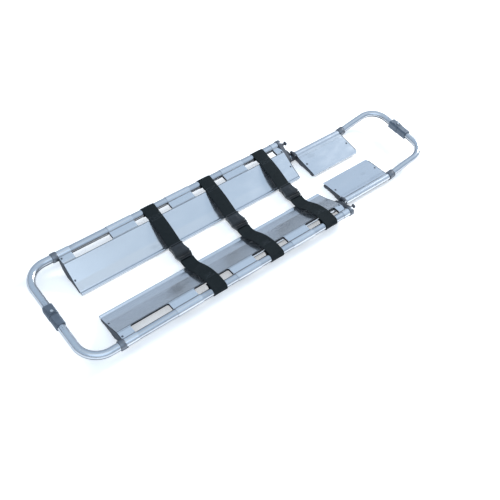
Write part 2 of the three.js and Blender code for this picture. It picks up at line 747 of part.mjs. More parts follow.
const stretcher = new THREE.Group();
stretcher.position.x = HEAD_X;
stretcher.add(
  ...pairOf('main_rail', mainRail(), 'tube'),
  ...pairOf('main_blade', mainBlade(), 'blade'),
  ...pairOf('head_rib', headRib(), 'casting'),
  ...pairOf('foot_bracket', footBracket(), 'casting'),
  ...pairOf('guide_tube', guideTube(), 'tube'),
  ...pairOf('guide_bush', guideBush(), 'nylon'),
  ...pairOf('slide_tube', slideTube(), 'tube'),
  ...pairOf('slide_stop', slideStop(), 'nylon'),
  ...pairOf('hinge_fork', hingeFork(), 'casting'),
  ...pairOf('hinge_pin', hingePin(), 'steel'),
  ...pairOf('foot_head_rib', footHeadRib(), 'casting'),
  ...pairOf('foot_rail', footRail(), 'tube'),
  ...pairOf('foot_blade', footBlade(), 'blade'),
  ...pairOf('foot_end_rib', footEndRib(), 'casting'),
  ...pairOf('lock_lever', lockLever(), 'casting'),
  ...pairOf('lock_pivot', lockPivot(), 'steel'),
  couplingAt('head', 0, RAIL_Z, RAIL_RADIUS),
  couplingAt('foot', FOOT_LOOP_X, FOOT_LOOP_Z, FOOT_RADIUS),
  ...STRAP_STATIONS.map((station, at) => strapAt(at + 1, station)),
);

export default stretcher;
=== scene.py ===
"""Looks for the folding scoop stretcher: fine tubes, ribbed blades, webbing, buckles, rivets and light.

Lengths are in millimetres and stations run along X from the middle of the head loop's tube, as in the
part's own drawing, until point() turns them into the frame's metres. Paired pieces are drawn for the
left half and mirrored for the right one.
"""

import math

import bmesh
import bpy
from mathutils import Matrix, Vector
from mathutils.geometry import tessellate_polygon


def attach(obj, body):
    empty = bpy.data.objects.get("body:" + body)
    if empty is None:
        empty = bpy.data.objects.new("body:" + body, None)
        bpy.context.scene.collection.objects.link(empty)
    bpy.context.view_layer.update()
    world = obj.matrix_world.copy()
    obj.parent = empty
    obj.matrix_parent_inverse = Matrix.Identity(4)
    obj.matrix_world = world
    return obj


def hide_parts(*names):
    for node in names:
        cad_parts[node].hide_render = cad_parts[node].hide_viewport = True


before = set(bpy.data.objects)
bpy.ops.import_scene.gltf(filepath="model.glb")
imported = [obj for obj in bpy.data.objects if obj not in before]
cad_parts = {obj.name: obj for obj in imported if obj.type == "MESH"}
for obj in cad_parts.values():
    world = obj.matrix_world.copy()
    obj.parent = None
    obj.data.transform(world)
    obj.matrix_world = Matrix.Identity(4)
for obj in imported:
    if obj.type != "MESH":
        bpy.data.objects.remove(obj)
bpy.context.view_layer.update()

MM = 0.001
HEAD_X = -783.5
SIDES = ("left", "right")

# Main frame
RAIL_Y = 205
RAIL_Z = 50
RAIL_RADIUS = 14
TUBE_WALL = 2
HEAD_CORNER = 78
BLADE_START = 126
BLADE_END = 1083.5
RAIL_END = 1097.5
SLOT_STARTS = [173 + 245 * number for number in range(4)]
SLOT_LENGTH = 146
SLOT_INNER_Y = 161
RIB_PITCH = 4
MAIN_RIB_DEPTH = 0.15
# The walls inside the blade's hollow edge, which the slots open, lie between these; their faces get the
# near-black painted shade.
PAINTED_HOLLOW_SHADE_Y = (158.6, 188.4)
PAINTED_HOLLOW_SHADE_Z = (43.2, 53.75)

# Foot section
FOOT_Y = 144
FOOT_Z = 20.5
FOOT_RADIUS = 12.5
FOOT_LOOP_Z = 56
FOOT_CORNER = 70
FOOT_BLADE_START = 1134.3
FOOT_BLADE_END = 1366
FOOT_RIB_DEPTH = 0.1
LEG_BEND_X = 1369
FOOT_LOOP_X = 1567

# Slide tube and the guide tube round it
SLIDE_START = 611.3
SLIDE_END = 1108.7
GUIDE_START = 1011.6
GUIDE_END = 1083.2
GUIDE_RADIUS = 16.6
GUIDE_WALL = 1.5
LOCK_STATIONS = [1105 - 100 * number for number in range(5)]
LOCK_ANGLE = 60

# Straps, buckles and couplings
STRAP_STATIONS = [488, 735, 989]
STRAP_WIDTH = 54
STRAP_THICKNESS = 1.8
STRAP_BOW = 0.7
BUCKLE_Z = 22
COUPLING_LENGTH = 43
COUPLING_TUBE_END = COUPLING_LENGTH / 2 + 0.6

# Meshes: a turned piece ends on a ring this small, and edges sharper than this angle stay sharp.
TUBE_SIDES = 40
LEAST_RADIUS = 0.02
SHARP_ANGLE = 38

# The camera's place is in metres and its angles are in degrees. Azimuth 0 looks along +Y.
CAMERA_PLACE = (-1.2448, -1.2422, 2.0359)
CAMERA_AZIMUTH = -45.871
CAMERA_ELEVATION = 51.433
CAMERA_ROLL = 9.009
CAMERA_LENS = 53.04

# The sky's colours by height, from 0 at the horizon to 1 straight up.
SKY_HORIZON = (0.0, (0.10, 0.11, 0.125, 1))
SKY_BETWEEN = [
    (0.16, (0.50, 0.55, 0.61, 1)),
    (0.5, (0.58, 0.72, 0.90, 1)),
    (0.85, (0.62, 0.77, 0.94, 1)),
]
SKY_OVERHEAD = (0.95, (0.80, 0.90, 1.0, 1))
SKY_STRENGTH = 0.95

# What metals' edges are tinted with at grazing angles
EDGE_TINT = (0.3, 0.32, 0.35, 1)


def point(station, y, z):
    """A place in the frame, from millimetres along the stretcher, across it and up."""
    return Vector(((station + HEAD_X) * MM, y * MM, z * MM))


# ---- Camera, floor and light ----

def add_camera():
    azimuth = math.radians(CAMERA_AZIMUTH)
    elevation = math.radians(CAMERA_ELEVATION)
    roll = math.radians(CAMERA_ROLL)
    back = Vector((
        math.sin(azimuth) * math.cos(elevation),
        -math.cos(azimuth) * math.cos(elevation),
        math.sin(elevation),
    ))
    level = (-back).cross(Vector((0, 0, 1))).normalized()
    upright = level.cross(-back)
    right = level * math.cos(roll) + upright * math.sin(roll)
    up = upright * math.cos(roll) - level * math.sin(roll)
    data = bpy.data.cameras.new("camera")
    data.lens = CAMERA_LENS
    data.sensor_width = 36
    data.clip_start = 0.05
    data.clip_end = 60
    camera = bpy.data.objects.new("camera", data)
    turn = Matrix((right, up, back)).transposed().to_4x4()
    camera.matrix_world = Matrix.Translation(CAMERA_PLACE) @ turn
    bpy.context.scene.collection.objects.link(camera)
    bpy.context.scene.camera = camera


def add_area_light(name, place, size, power, colour):
    data = bpy.data.lights.new(name, "AREA")
    data.shape = "DISK"
    data.size = size
    data.energy = power
    data.color = colour
    light = bpy.data.objects.new(name, data)
    light.location = place
    light.rotation_mode = "QUATERNION"
    light.rotation_quaternion = Vector(place).to_track_quat("Z", "Y")
    bpy.context.scene.collection.objects.link(light)


def add_lights():
    """A small warm key light beyond the foot end, and a wide bluish fill over the near side."""
    add_area_light("key", (3.4, 0.15, 1.75), 1.0, 130, (1.0, 0.98, 0.95))
    add_area_light("fill", (-1.3, -1.9, 3.0), 4.0, 27, (0.72, 0.86, 1.0))


def add_world():
    """A plain studio: bright overhead, dark at the horizon."""
    world = bpy.data.worlds.new("studio")
    bpy.context.scene.world = world
    world.use_nodes = True
    nodes = world.node_tree.nodes
    links = world.node_tree.links
    background = nodes["Background"]
    place = nodes.new("ShaderNodeTexCoord")
    height = nodes.new("ShaderNodeSeparateXYZ")
    ramp = nodes.new("ShaderNodeValToRGB")
    stops = ramp.color_ramp.elements
    stops[0].position, stops[0].color = SKY_HORIZON
    stops[1].position, stops[1].color = SKY_OVERHEAD
    for position, colour in SKY_BETWEEN:
        stops.new(position).color = colour
    links.new(place.outputs["Generated"], height.inputs[0])
    links.new(height.outputs["Z"], ramp.inputs[0])
    links.new(ramp.outputs[0], background.inputs["Color"])
    background.inputs["Strength"].default_value = SKY_STRENGTH
    bpy.context.scene.view_settings.view_transform = "Standard"


# ---- Materials ----

class Surface:
    """A material under construction: a principled shader with a few procedural textures on it."""

    def __init__(self, name, colour, metallic, roughness):
        self.material = bpy.data.materials.new(name)
        self.material.use_nodes = True
        self.nodes = self.material.node_tree.nodes
        self.links = self.material.node_tree.links
        self.shader = self.nodes["Principled BSDF"]
        self.shader.inputs["Base Color"].default_value = (*colour, 1)
        self.shader.inputs["Metallic"].default_value = metallic
        self.shader.inputs["Roughness"].default_value = roughness
        if metallic > 0.5:
            self.shader.inputs["Specular Tint"].default_value = EDGE_TINT
        self.colour = colour
        self.height = None

    def coordinates(self, stretch=(1, 1, 1), kind="Object"):
        place = self.nodes.new("ShaderNodeTexCoord")
        scaled = self.nodes.new("ShaderNodeMapping")
        scaled.inputs["Scale"].default_value = stretch
        self.links.new(place.outputs[kind], scaled.inputs["Vector"])
        return scaled.outputs["Vector"]

    def noise(self, scale, detail=3, stretch=(1, 1, 1)):
        texture = self.nodes.new("ShaderNodeTexNoise")
        texture.inputs["Scale"].default_value = scale
        texture.inputs["Detail"].default_value = detail
        self.links.new(self.coordinates(stretch), texture.inputs["Vector"])
        return texture.outputs["Fac"]

    def remap(self, value, start, end, low, high):
        """The value, taken from the range start to end to the range low to high, and held inside it."""
        node = self.nodes.new("ShaderNodeMapRange")
        node.inputs["From Min"].default_value = start
        node.inputs["From Max"].default_value = end
        node.inputs["To Min"].default_value = low
        node.inputs["To Max"].default_value = high
        self.links.new(value, node.inputs["Value"])
        return node.outputs["Result"]

    def painted_shade_by_facing(self):
        """Painted shade: how far the surface faces upwards, -0.3 underneath, rising to about a third on its
        upper half, used to darken undersides in the base colour.
        """
        place = self.nodes.new("ShaderNodeTexCoord")
        apart = self.nodes.new("ShaderNodeSeparateXYZ")
        self.links.new(place.outputs["Normal"], apart.inputs[0])
        return self.remap(apart.outputs["Z"], -0.25, 0.2, -0.3, 0.33)

    def between(self, value, low, high):
        """A texture's middle values, spread out to run from low to high."""
        return self.remap(value, 0.3, 0.7, low, high)

    def math(self, operation, first, second=None):
        node = self.nodes.new("ShaderNodeMath")
        node.operation = operation
        for socket, value in zip(node.inputs, (first, second)):
            if isinstance(value, (int, float)):
                socket.default_value = value
            elif value is not None:
                self.links.new(value, socket)
        return node.outputs[0]

    def vary_roughness(self, value, low, high):
        self.links.new(self.between(value, low, high), self.shader.inputs["Roughness"])

    def vary_colour(self, value, low, high):
        """The base colour times a factor that goes from low to high with the value."""
        factor = self.between(value, low, high)
        scaled = self.nodes.new("ShaderNodeVectorMath")
        scaled.operation = "SCALE"
        scaled.inputs[0].default_value = self.colour
        self.links.new(factor, scaled.inputs["Scale"])
        self.links.new(scaled.outputs[0], self.shader.inputs["Base Color"])

    def bump(self, value, depth):
        """Adds relief of that depth in millimetres."""
        node = self.nodes.new("ShaderNodeBump")
        node.inputs["Strength"].default_value = 1
        node.inputs["Distance"].default_value = depth * MM
        self.links.new(value, node.inputs["Height"])
        if self.height is not None:
            self.links.new(self.height, node.inputs["Normal"])
        self.height = node.outputs["Normal"]
        self.links.new(self.height, self.shader.inputs["Normal"])


def tube_material():
    surface = Surface("satin_tube", (0.56, 0.59, 0.63), 1.0, 0.24)
    surface.vary_roughness(surface.noise(60, 4, (0.3, 1, 1)), 0.22, 0.28)
    # Painted shade: the tube's underside is darkened in the base colour, mixed with random tone.
    painted_shade_and_tone = surface.math("ADD", surface.painted_shade_by_facing(), surface.noise(9, 4))
    surface.vary_colour(painted_shade_and_tone, 0.15, 1.05)
    surface.bump(surface.noise(1400, 2, (0.05, 1, 1)), 0.006)
    return surface.material


def blade_material():
    surface = Surface("ribbed_panel", (0.66, 0.69, 0.73), 0.92, 0.22)
    surface.vary_roughness(surface.noise(35, 5, (0.4, 1, 1)), 0.18, 0.26)
    # Painted shade: the blade's underside is darkened in the base colour, mixed with random tone.
    painted_shade_and_tone = surface.math("ADD", surface.painted_shade_by_facing(), surface.noise(14, 5, (0.5, 1, 1)))
    surface.vary_colour(painted_shade_and_tone, 0.35, 1.04)
    surface.bump(surface.noise(900, 3, (0.06, 1, 1)), 0.02)
    surface.bump(surface.noise(420, 3), 0.045)
    return surface.material


# Partly the castings' own grey, partly painted shade: darkened to stand for the shade on the end ribs under
# the blades.
def casting_with_painted_shade_material():
    surface = Surface("grey_casting_painted_shade", (0.085, 0.092, 0.105), 0.6, 0.45)
    surface.vary_roughness(surface.noise(160, 4), 0.36, 0.55)
    surface.vary_colour(surface.noise(45, 4), 0.85, 1.12)
    surface.bump(surface.noise(1100, 3), 0.08)
    return surface.material


def coupling_material():
    surface = Surface("coupling_casting", (0.15, 0.175, 0.21), 0.7, 0.42)
    surface.vary_roughness(surface.noise(160, 4), 0.34, 0.5)
    surface.vary_colour(surface.noise(45, 4), 0.85, 1.12)
    surface.bump(surface.noise(1100, 3), 0.06)
    return surface.material


def ring_material():
    surface = Surface("machined_ring", (0.21, 0.225, 0.25), 0.9, 0.36)
    surface.vary_roughness(surface.noise(140, 4), 0.3, 0.44)
    surface.vary_colour(surface.noise(60, 4), 0.92, 1.06)
    surface.bump(surface.noise(1600, 2), 0.02)
    return surface.material


def painted_hollow_shade_material():
    """Painted shade: a near-black material for the inside of the blade's hollow edge, which the slots open.
    """
    surface = Surface("painted_hollow_shade", (0.045, 0.05, 0.058), 0.3, 0.6)
    surface.vary_colour(surface.noise(120, 4), 0.8, 1.2)
    surface.bump(surface.noise(900, 3), 0.05)
    return surface.material


def steel_material():
    surface = Surface("turned_steel", (0.58, 0.60, 0.62), 1.0, 0.28)
    surface.vary_roughness(surface.noise(500, 3, (1, 1, 0.2)), 0.2, 0.38)
    surface.bump(surface.noise(2500, 2), 0.01)
    return surface.material


def dark_steel_material():
    surface = Surface("dark_rivet", (0.13, 0.14, 0.16), 0.9, 0.35)
    surface.vary_roughness(surface.noise(700, 3), 0.28, 0.46)
    surface.bump(surface.noise(2500, 2), 0.01)
    return surface.material


def nylon_material():
    surface = Surface("moulded_nylon", (0.005, 0.007, 0.009), 0.0, 0.22)
    surface.shader.inputs["Specular IOR Level"].default_value = 0.75
    surface.vary_roughness(surface.noise(200, 4), 0.16, 0.28)
    surface.vary_colour(surface.noise(80, 3), 0.85, 1.2)
    surface.bump(surface.noise(2600, 3), 0.008)
    return surface.material


def webbing_material():
    """Woven webbing: rows of chevrons across its width, from the piece's UV map."""
    surface = Surface("woven_webbing", (0.010, 0.0145, 0.0165), 0.0, 0.78)
    surface.shader.inputs["Specular IOR Level"].default_value = 0.12
    apart = surface.nodes.new("ShaderNodeSeparateXYZ")
    surface.links.new(surface.coordinates(kind="UV"), apart.inputs[0])
    along = apart.outputs["X"]
    across = apart.outputs["Y"]
    zigzag = surface.math("PINGPONG", across, 4.5)
    diagonal = surface.math("ADD", along, surface.math("MULTIPLY", zigzag, 0.7))
    twill = surface.math("SINE", surface.math("MULTIPLY", diagonal, 2 * math.pi / 2.4))
    yarns = surface.math("SINE", surface.math("MULTIPLY", across, 2 * math.pi / 1.5))
    weave = surface.math("ADD", surface.math("MULTIPLY", twill, 0.28), surface.math("MULTIPLY", yarns, 0.22))
    weave = surface.math("ADD", weave, 0.5)
    wear = surface.math("MULTIPLY", surface.noise(70, 4), 0.4)
    surface.vary_colour(surface.math("ADD", surface.math("MULTIPLY", weave, 0.6), wear), 0.72, 1.3)
    surface.bump(weave, 0.22)
    surface.bump(surface.noise(1500, 3), 0.08)
    return surface.material


def thread_material():
    surface = Surface("sewing_thread", (0.055, 0.065, 0.075), 0.0, 0.7)
    surface.vary_colour(surface.noise(900, 3), 0.8, 1.25)
    surface.bump(surface.noise(2200, 3), 0.05)
    return surface.material


def floor_material():
    surface = Surface("pale_floor", (0.93, 0.93, 0.93), 0.0, 0.75)
    surface.vary_roughness(surface.noise(6, 3), 0.7, 0.82)
    surface.shader.inputs["Emission Color"].default_value = (1, 1, 1, 1)
    surface.shader.inputs["Emission Strength"].default_value = 0.4
    surface.bump(surface.noise(260, 3), 0.02)
    return surface.material


# ---- Mesh helpers ----

def arc(centre_a, centre_b, radius, start, end, steps):
    """Points on an arc between two angles in degrees, both ends included."""
    angles = [math.radians(start + (end - start) * step / steps) for step in range(steps + 1)]
    return [(centre_a + radius * math.cos(angle), centre_b + radius * math.sin(angle)) for angle in angles]


def curve_value(before, first, second, after, t):
    """One coordinate of the curve from first to second, at t from 0 to 1."""
    slope = second - before
    bend = 2 * before - 5 * first + 4 * second - after
    twist = 3 * first - before - 3 * second + after
    return 0.5 * (2 * first + slope * t + bend * t * t + twist * t ** 3)


def smoothed(points, steps=8):
    """A curve through the given (a, b) points."""
    ends = [points[0], *points, points[-1]]
    curve = []
    for before, first, second, after in zip(ends, ends[1:], ends[2:], ends[3:]):
        for step in range(steps):
            place = [curve_value(*four, step / steps) for four in zip(before, first, second, after)]
            curve.append(tuple(place))
    return [*curve, points[-1]]


def mesh_from(name, vertices, faces):
    mesh = bpy.data.meshes.new(name)
    mesh.from_pydata(vertices, [], faces)
    shaped = bmesh.new()
    shaped.from_mesh(mesh)
    bmesh.ops.recalc_face_normals(shaped, faces=shaped.faces)
    shaped.to_mesh(mesh)
    shaped.free()
    return mesh


def object_from(name, mesh):
    obj = bpy.data.objects.new(name, mesh)
    bpy.context.scene.collection.objects.link(obj)
    return obj


def prism(name, outline, start, end, to_point, holes=()):
    """A closed outline with holes, extruded from start to end; to_point(a, b, station) places a vertex."""
    loops = [outline, *holes]
    flat = [corner for loop in loops for corner in loop]
    count = len(flat)
    vertices = [to_point(a, b, station) for station in (start, end) for a, b in flat]
    cap = tessellate_polygon([[Vector((a, b, 0)) for a, b in loop] for loop in loops])
    faces = [tuple(corner) for corner in cap] + [tuple(corner + count for corner in face) for face in cap]
    first = 0
    for loop in loops:
        for at in range(len(loop)):
            this = first + at
            following = first + (at + 1) % len(loop)
            faces.append((this, following, following + count, this + count))
        first += len(loop)
    return object_from(name, mesh_from(name, vertices, faces))


def along_x(name, outline, start, end, holes=()):
    """An outline of (y, z) points extruded along X."""
    return prism(name, outline, start, end, lambda y, z, x: point(x, y, z), holes)


def along_z(name, outline, bottom, top):
    """An outline of (x, y) points extruded upwards."""
    return prism(name, outline, bottom, top, point)


def rings(name, loops, closed=False):
    """A skin over a row of loops that have as many points each, capped unless the row closes on itself."""
    count = len(loops[0])
    vertices = [corner for loop in loops for corner in loop]
    rows = len(loops)
    faces = []
    for row in range(rows if closed else rows - 1):
        for at in range(count):
            following = (at + 1) % count
            below = row * count
            above = (row + 1) % rows * count
            faces.append((below + at, below + following, above + following, above + at))
    if not closed:
        faces.append(tuple(range(count)))
        faces.append(tuple(range((rows - 1) * count, rows * count)))
    return object_from(name, mesh_from(name, vertices, faces))


def round_loop(centre, tangent, radius, sides):
    tangent = tangent.normalized()
    across = tangent.cross(Vector((0, 0, 1))).normalized()
    above = across.cross(tangent)
    angles = [2 * math.pi * side / sides for side in range(sides)]
    return [centre + (across * math.cos(angle) + above * math.sin(angle)) * radius * MM for angle in angles]


def lip(centre, tangent, radius, outwards):
    """The rounded rim of a tube's end, a little beyond its last full loop."""
    edge = 0.4
    beyond = centre + outwards * tangent.normalized() * edge * MM
    return round_loop(beyond, tangent, radius - edge, TUBE_SIDES)


def tube(name, route, radius, wall=TUBE_WALL):
    """A hollow tube with softened ends along a route of (centre, tangent) pairs."""
    outside = [round_loop(*stop, radius, TUBE_SIDES) for stop in route]
    inside = [round_loop(*stop, radius - wall, TUBE_SIDES) for stop in reversed(route)]
    loops = [lip(*route[0], radius, -1), *outside, lip(*route[-1], radius, 1), *inside]
    return rings(name, loops, closed=True)


def turned(name, profile, centre, axis, sides=40):
    """A turned piece: a profile of (distance along the axis, radius) round an axis, all in millimetres."""
    axis = Vector(axis).normalized()
    side = axis.orthogonal().normalized()
    other = axis.cross(side)
    angles = [2 * math.pi * step / sides for step in range(sides)]
    spokes = [side * math.cos(angle) + other * math.sin(angle) for angle in angles]
    loops = []
    for along, radius in profile:
        middle = point(*centre) + axis * along * MM
        loops.append([middle + spoke * max(radius, LEAST_RADIUS) * MM for spoke in spokes])
    return rings(name, loops)


def bake(obj):
    """Makes the object's modifiers part of its mesh."""
    bpy.context.view_layer.update()
    seen = obj.evaluated_get(bpy.context.evaluated_depsgraph_get())
    mesh = bpy.data.meshes.new_from_object(seen)
    obj.modifiers.clear()
    obj.data = mesh


def carved(obj, cutters):
    """Cuts the cutters out of obj, then throws them away."""
    for cutter in cutters:
        modifier = obj.modifiers.new("cut", "BOOLEAN")
        modifier.operation = "DIFFERENCE"
        modifier.solver = "EXACT"
        modifier.object = cutter
    bake(obj)
    for cutter in cutters:
        bpy.data.objects.remove(cutter)
    return obj


def bevelled(obj, width, segments, angle):
    modifier = obj.modifiers.new("bevel", "BEVEL")
    modifier.width = width * MM
    modifier.segments = segments
    modifier.limit_method = "ANGLE"
    modifier.angle_limit = math.radians(angle)
    modifier.harden_normals = True
    return obj


def joined(name, objects):
    """Several objects as one."""
    vertices = []
    faces = []
    for obj in objects:
        bake(obj)
        first = len(vertices)
        vertices += [obj.matrix_world @ vertex.co for vertex in obj.data.vertices]
        faces += [tuple(first + corner for corner in face.vertices) for face in obj.data.polygons]
        bpy.data.objects.remove(obj)
    mesh = bpy.data.meshes.new(name)
    mesh.from_pydata(vertices, [], faces)
    return object_from(name, mesh)


def mirrored(obj, name):
    """A copy on the other side of the middle plane."""
    mesh = obj.data.copy()
    mesh.transform(Matrix.Scale(-1, 4, (0, 1, 0)))
    mesh.flip_normals()
    copy = object_from(name, mesh)
    for modifier in obj.modifiers:
        if modifier.type == "BEVEL":
            angle = math.degrees(modifier.angle_limit)
            bevelled(copy, modifier.width / MM, modifier.segments, angle)
    return copy


def finished(obj, body, material, stands_for=()):
    """Gives a piece its material and smooth shading and hands it to its body."""
    obj.data.materials.clear()
    obj.data.materials.append(material)
    obj.data.shade_smooth()
    obj.data.set_sharp_from_angle(angle=math.radians(SHARP_ANGLE))
    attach(obj, body)
    if stands_for:
        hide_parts(*stands_for)


def finished_pair(obj, name, body, material, stands_for=None):
    """Finishes a left piece and its mirror image; body and stands_for are without the side's name."""
    obj.name = f"left_{name}"
    copies = {"left": obj, "right": mirrored(obj, f"right_{name}")}
    for side, copy in copies.items():
        nodes = [f"{side}_{stands_for}"] if stands_for else []
        finished(copy, f"{side}_{body}", material, nodes)
    return list(copies.values())


# ---- Tubes ----

def leg_height(station):
    """The height of the foot tube's middle: level under the blade, then rising to the loop's bar."""
    part = min(max((station - LEG_BEND_X) / (FOOT_LOOP_X - LEG_BEND_X), 0), 1)
    return FOOT_Z + (FOOT_LOOP_Z - FOOT_Z) * (1 - (1 - part) ** 1.5)


def through(points):
    """A route of (centre, tangent) pairs through a list of points."""
    route = []
    for at, centre in enumerate(points):
        before = points[max(at - 1, 0)]
        after = points[min(at + 1, len(points) - 1)]
        route.append((centre, after - before))
    return route


def rail_route():
    """From the foot bracket along the rail, round the head loop's corner and up to the coupling."""
    corner = arc(HEAD_CORNER, RAIL_Y - HEAD_CORNER, HEAD_CORNER, 90, 180, 28)
    course = [(RAIL_END, RAIL_Y), (RAIL_END - 5, RAIL_Y), (HEAD_CORNER + 2, RAIL_Y), *corner]
    course += [(0, RAIL_Y - HEAD_CORNER - 2), (0, COUPLING_TUBE_END)]
    return through([point(x, y, RAIL_Z) for x, y in course])


def leg_route():
    """From the foot blade's start, up over the bend and round the foot loop's corner to the coupling."""
    bend = [LEG_BEND_X + offset for offset in (-7, -4, -2, 0, 2, 5, 11)]
    stations = [FOOT_BLADE_START, 1200, *bend, *range(1390, 1491, 10)]
    corner = arc(FOOT_LOOP_X - FOOT_CORNER, FOOT_Y - FOOT_CORNER, FOOT_CORNER, 90, 0, 26)
    course = [(station, FOOT_Y) for station in stations] + corner
    course += [(FOOT_LOOP_X, FOOT_Y - FOOT_CORNER - 2), (FOOT_LOOP_X, COUPLING_TUBE_END)]
    return through([point(x, y, leg_height(x)) for x, y in course])


def straight_route(start, end):
    """Straight along the slide tube's middle line."""
    return through([point(start, FOOT_Y, FOOT_Z), point(end, FOOT_Y, FOOT_Z)])


def drilled_slide():
    """The slide tube, with its row of lock holes."""
    lean = math.radians(LOCK_ANGLE)
    drill = Vector((0, math.cos(lean), math.sin(lean)))
    holes = [
        turned("hole", [(6, 3.6), (20, 3.6)], (station, FOOT_Y, FOOT_Z), drill, 24)
        for station in LOCK_STATIONS
    ]
    return carved(tube("slide", straight_route(SLIDE_START, SLIDE_END), FOOT_RADIUS), holes)


def add_tubes(material):
    rail = tube("rail", rail_route(), RAIL_RADIUS)
    finished_pair(rail, "rail_tube", "half", material, "main_rail")
    leg = tube("leg", leg_route(), FOOT_RADIUS)
    finished_pair(leg, "foot_tube", "foot", material, "foot_rail")
    finished_pair(drilled_slide(), "sliding_tube", "slide", material, "slide_tube")
    guide = tube("guide", straight_route(GUIDE_START, GUIDE_END), GUIDE_RADIUS, GUIDE_WALL)
    finished_pair(guide, "guide_sleeve", "half", material, "guide_tube")


# ---- Blades ----

def ribbed(start, end, pitch, depth):
    """Points from one corner to another over fine rounded ribs, a little below the straight line."""
    start = Vector(start)
    run = Vector(end) - start
    normal = Vector((run.y, -run.x)).normalized()
    ribs = round(run.length / pitch)
    steps = ribs * 6
    points = []
    for step in range(steps + 1):
        dip = depth * (1 - math.cos(2 * math.pi * ribs * step / steps)) / 2
        points.append(tuple(start + run * (step / steps) - normal * dip))
    return points


def main_blade_outline():
    wrap_outside = arc(RAIL_Y, RAIL_Z, RAIL_RADIUS + 1.3, -20, 158, 32)
    fold = [(187, 55.7), (168, 54.5), (165, 54.3), (164.3, 53.7), (163.3, 53.6), (162.6, 54.1), (160.6, 53.9)]
    slope = ribbed((158.8, 53.3), (94, 20.5), RIB_PITCH, MAIN_RIB_DEPTH)
    apron = ribbed((92.4, 19.9), (64.6, 9.8), RIB_PITCH, MAIN_RIB_DEPTH)
    groove = [(63.4, 8.9), (61.6, 8.1), (60, 8.4)]
    bead = arc(54.4, 6.1, 4.9, 40, 235, 14)
    under = [(56, 3.2), (62, 5.8), (94, 17.5), (155.5, 48.2), (156.5, 43), (189.5, 43)]
    wrap_inside = arc(RAIL_Y, RAIL_Z, RAIL_RADIUS + 0.3, 199, -20, 36)
    return [*wrap_outside, *fold, *slope, *apron, *groove, *bead, *under, *wrap_inside]


def paint_hollow_shade(blade, material):
    """Gives the walls inside the blade's hollow edge the near-black painted-shade material."""
    blade.data.materials.append(material)
    for face in blade.data.polygons:
        y = abs(face.center.y) / MM
        z = face.center.z / MM
        if PAINTED_HOLLOW_SHADE_Y[0] < y < PAINTED_HOLLOW_SHADE_Y[1] and PAINTED_HOLLOW_SHADE_Z[0] < z < PAINTED_HOLLOW_SHADE_Z[1]:
            face.material_index = 1


def add_main_blades(material, inside):
    cell = [(187.6, 53.6), (162, 51.9), (158.7, 50.2), (158.7, 45), (188.2, 45)]
    blade = along_x("blade", main_blade_outline(), BLADE_START, BLADE_END, [cell])
    corner = 6
    outer = RAIL_Y + 40
    cutters = [
        along_z("slot", [
            *arc(start + corner, SLOT_INNER_Y + corner, corner, 180, 270, 6),
            *arc(start + SLOT_LENGTH - corner, SLOT_INNER_Y + corner, corner, 270, 360, 6),
            (start + SLOT_LENGTH, outer),
            (start, outer),
        ], 20, 90)
        for start in SLOT_STARTS
    ]
    carved(blade, cutters)
    bevelled(blade, 0.35, 2, 50)
    # inside is the near-black material that paints shade on the hollow's walls.
    for copy in finished_pair(blade, "ribbed_blade", "half", material, "main_blade"):
        paint_hollow_shade(copy, inside)


def add_foot_blades(material):
    wrap_outside = arc(FOOT_Y, FOOT_Z, FOOT_RADIUS + 1.3, -20, 148, 30)
    lines = [(129.4, 27.6), (124.4, 26.6), (123.9, 25.8), (122.9, 25.6), (122.4, 26.2)]
    lines += [(119.6, 25.7), (119.1, 24.9), (118.1, 24.7), (117.6, 25.3)]
    slope = ribbed((112, 24.5), (31, 15.1), RIB_PITCH, FOOT_RIB_DEPTH)
    edge = [*arc(27.2, 11.2, 3.6, 80, 250, 10), (28.5, 10.4)]
    under = [(40, 14), (112, 21.5), (129, 24.4)]
    wrap_inside = arc(FOOT_Y, FOOT_Z, FOOT_RADIUS + 0.3, 161, -20, 30)
    outline = [*wrap_outside, *lines, *slope, *edge, *under, *wrap_inside]
    blade = along_x("blade", outline, FOOT_BLADE_START, FOOT_BLADE_END)
    inner = 22.8
    radius = 10
    offcut = along_z("offcut", [
        *arc(FOOT_BLADE_END - radius, inner + radius, radius, 0, -90, 8),
        (FOOT_BLADE_END - radius, inner - 5),
        (FOOT_BLADE_END + 5, inner - 5),
        (FOOT_BLADE_END + 5, inner + radius),
    ], -10, 40)
    carved(blade, [offcut])
    bevelled(blade, 0.35, 2, 50)
    finished_pair(blade, "short_blade", "foot", material, "foot_blade")


# ---- Rings, rivets and punch marks ----

def collar(name, start, end, y, z, radius, bore, axis=(1, 0, 0)):
    """A short sleeve round a tube, with rounded rims."""
    rim = 1.2
    length = end - start
    profile = [(0, bore), (0, radius - rim), (0.35 * rim, radius - 0.35 * rim), (rim, radius)]
    profile += [(length - rim, radius), (length - 0.35 * rim, radius - 0.35 * rim)]
    profile += [(length, radius - rim), (length, bore)]
    return turned(name, profile, (start, y, z), axis)


def add_rings(material):
    ring = collar("ring", 105.9, 125.4, RAIL_Y, RAIL_Z, RAIL_RADIUS + 3.6, RAIL_RADIUS + 0.1)
    finished_pair(ring, "head_ring", "half", material)
    ring = collar("ring", 1084, 1100.3, RAIL_Y, RAIL_Z, RAIL_RADIUS + 3.6, 4)
    finished_pair(ring, "rail_cap", "half", material)
    low, high = (1374, 1385)
    lean = (1, 0, (leg_height(high) - leg_height(low)) / (high - low))
    start, end = (1370, 1391)
    ring = collar("ring", start, end, FOOT_Y, leg_height(start), FOOT_RADIUS + 3.8, FOOT_RADIUS + 0.1, lean)
    finished_pair(ring, "foot_ring", "foot", material)


